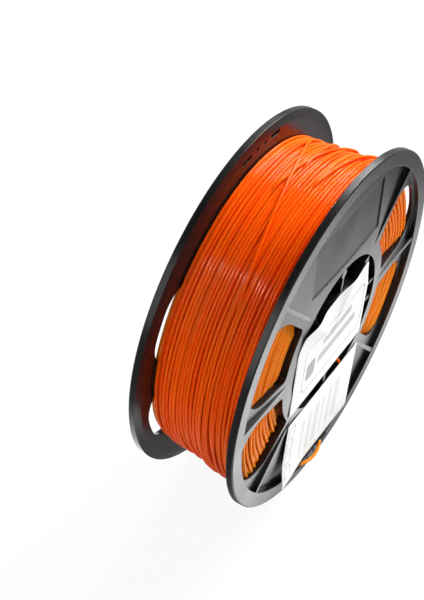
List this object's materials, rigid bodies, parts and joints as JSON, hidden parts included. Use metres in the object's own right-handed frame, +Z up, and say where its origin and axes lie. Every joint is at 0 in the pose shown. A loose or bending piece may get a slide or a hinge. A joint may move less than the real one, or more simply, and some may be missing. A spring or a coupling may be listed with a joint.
{
  "type": "filament spool",
  "caption": "Spool of orange plastic printing filament: black moulded reel with windowed flanges and a round centre bore, carrying blank paper labels.",
  "frame": {"origin": "centre of the bore, midway between the flanges", "axes": "+X along the bore axis towards the flange that carries the labels, +Z up as the spool stands on its rims, +Y towards the viewer's right when looking at the labelled flange"},
  "size_m": [0.0638, 0.2, 0.2],
  "materials": {
    "spool_plastic": "satin",
    "filament": "glossy",
    "label_paper": "matte"
  },
  "bodies": {
    "root": {"right_half": "spool_plastic", "left_half": "spool_plastic", "winding_core": "filament", "winding_outer_layer": "filament", "filament_free_end": "filament", "filament_start_end": "filament", "hub_label": "label_paper", "web_label": "label_paper"}
  },
  "joints": []
}
